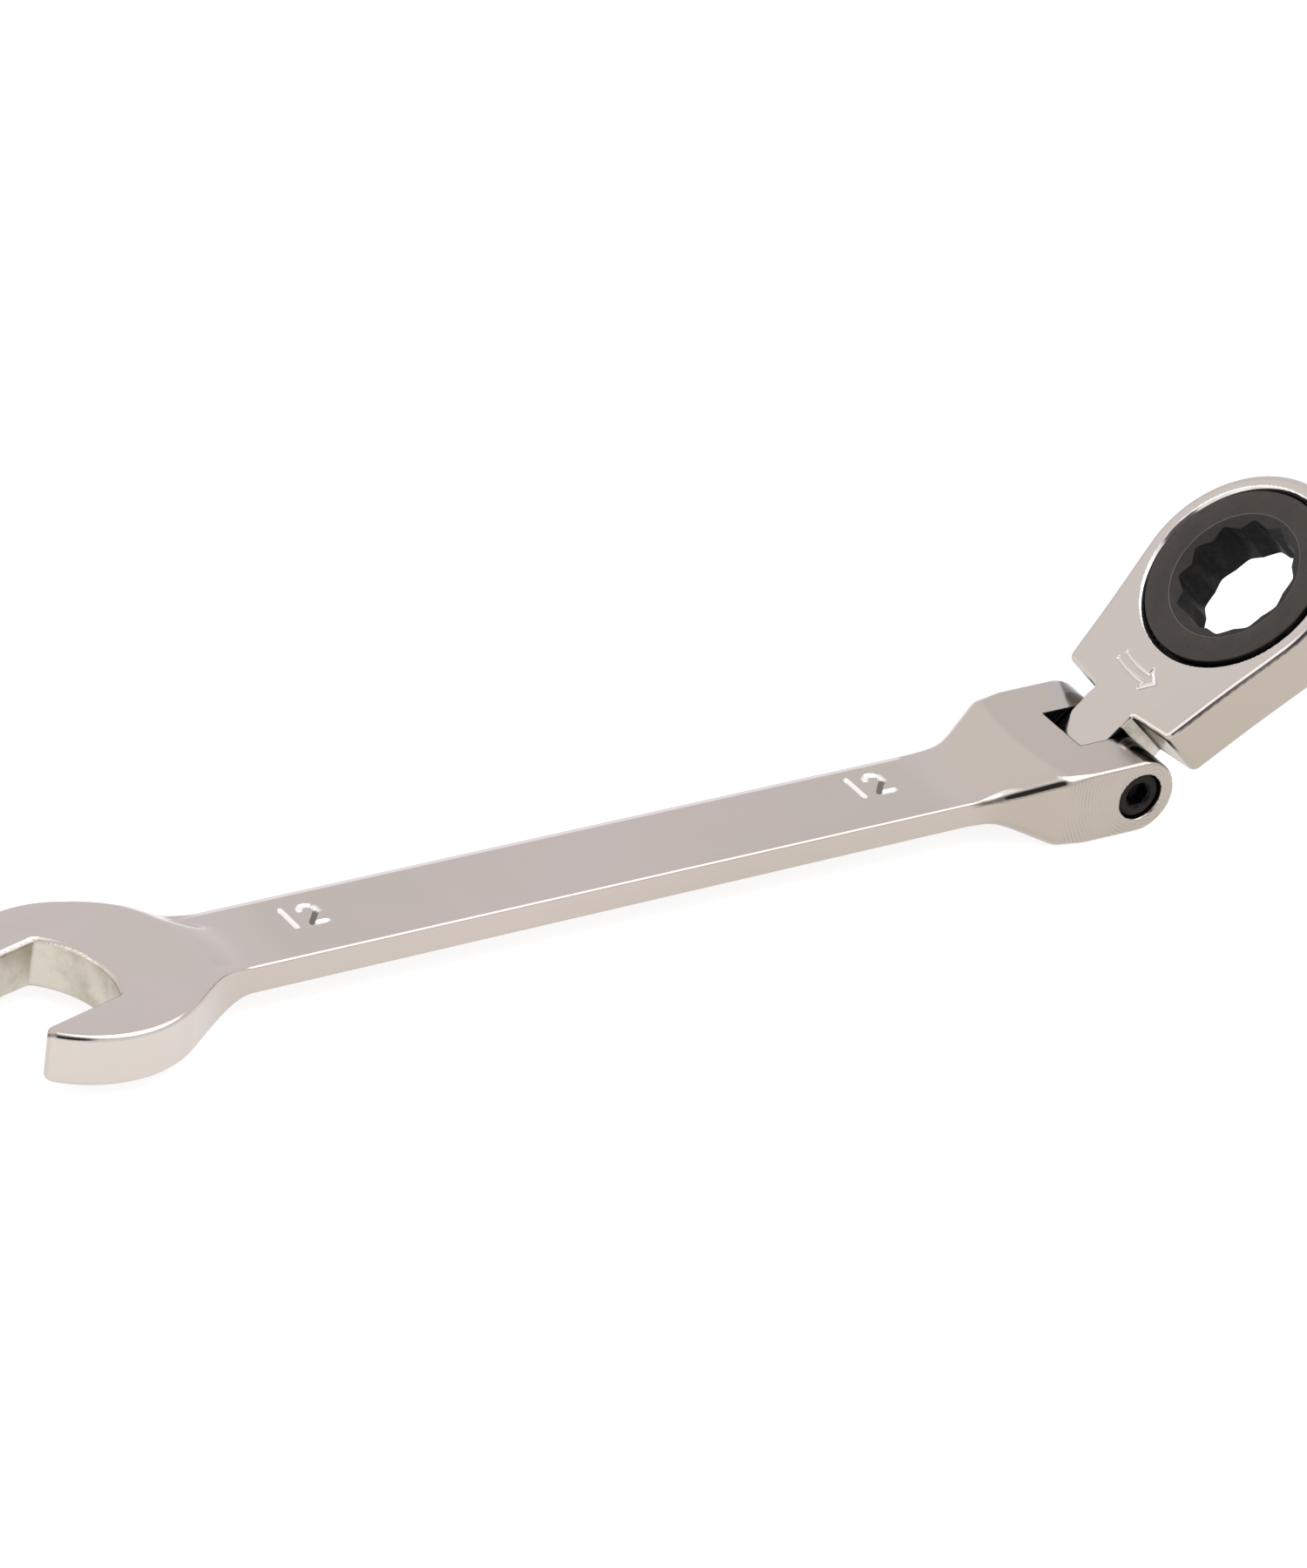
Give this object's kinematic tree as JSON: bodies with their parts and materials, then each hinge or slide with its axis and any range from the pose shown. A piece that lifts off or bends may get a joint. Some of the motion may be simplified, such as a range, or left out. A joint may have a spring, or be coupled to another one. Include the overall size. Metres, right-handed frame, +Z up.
{
  "type": "flex-head ratcheting combination wrench",
  "caption": "Chromed combination wrench with an angled open jaw at one end and a ratcheting 12-point ring in a head hinged to a forked shank at the other.",
  "frame": {"origin": "bottom centre of the bounding box at rest, with the fork's underside on Z = 0", "axes": "+X from the open jaw along the shank to the ring head, +Y across the shank along the hinge axis, +Z up"},
  "size_m": [0.1618, 0.0262, 0.031],
  "materials": {
    "chrome": "satin polished chrome",
    "dark_steel": "dark oxide, satin",
    "black_steel": "black oxide",
    "spring_steel": "bright drawn wire"
  },
  "bodies": {
    "body": {"wrench_body": "chrome", "pivot_screw": "black_steel"},
    "head": {"ring_head": "chrome", "pawl_spring": "spring_steel", "retaining_ring": "spring_steel"},
    "gear": {"ratchet_gear": "dark_steel"},
    "pawl": {"pawl": "dark_steel"}
  },
  "joints": [
    {"name": "flex_hinge", "type": "hinge", "parent": "body", "child": "head", "pos_m": [0.05191, 0.00045, 0.00415], "axis": [0, -1, 0], "range_deg": [-132.3, 47.7]},
    {"name": "gear_spin", "type": "hinge", "parent": "head", "child": "gear", "pos_m": [0.06937, 0.00045, 0.02003], "axis": [-0.673, 0, 0.7396], "continuous": true},
    {"name": "pawl_slide", "type": "slide", "parent": "head", "child": "pawl", "axis": [-0.7396, 0, -0.673], "range_m": [0, 0.0005], "stiffness_N_per_m": 100, "springref_m": -0.002}
  ]
}
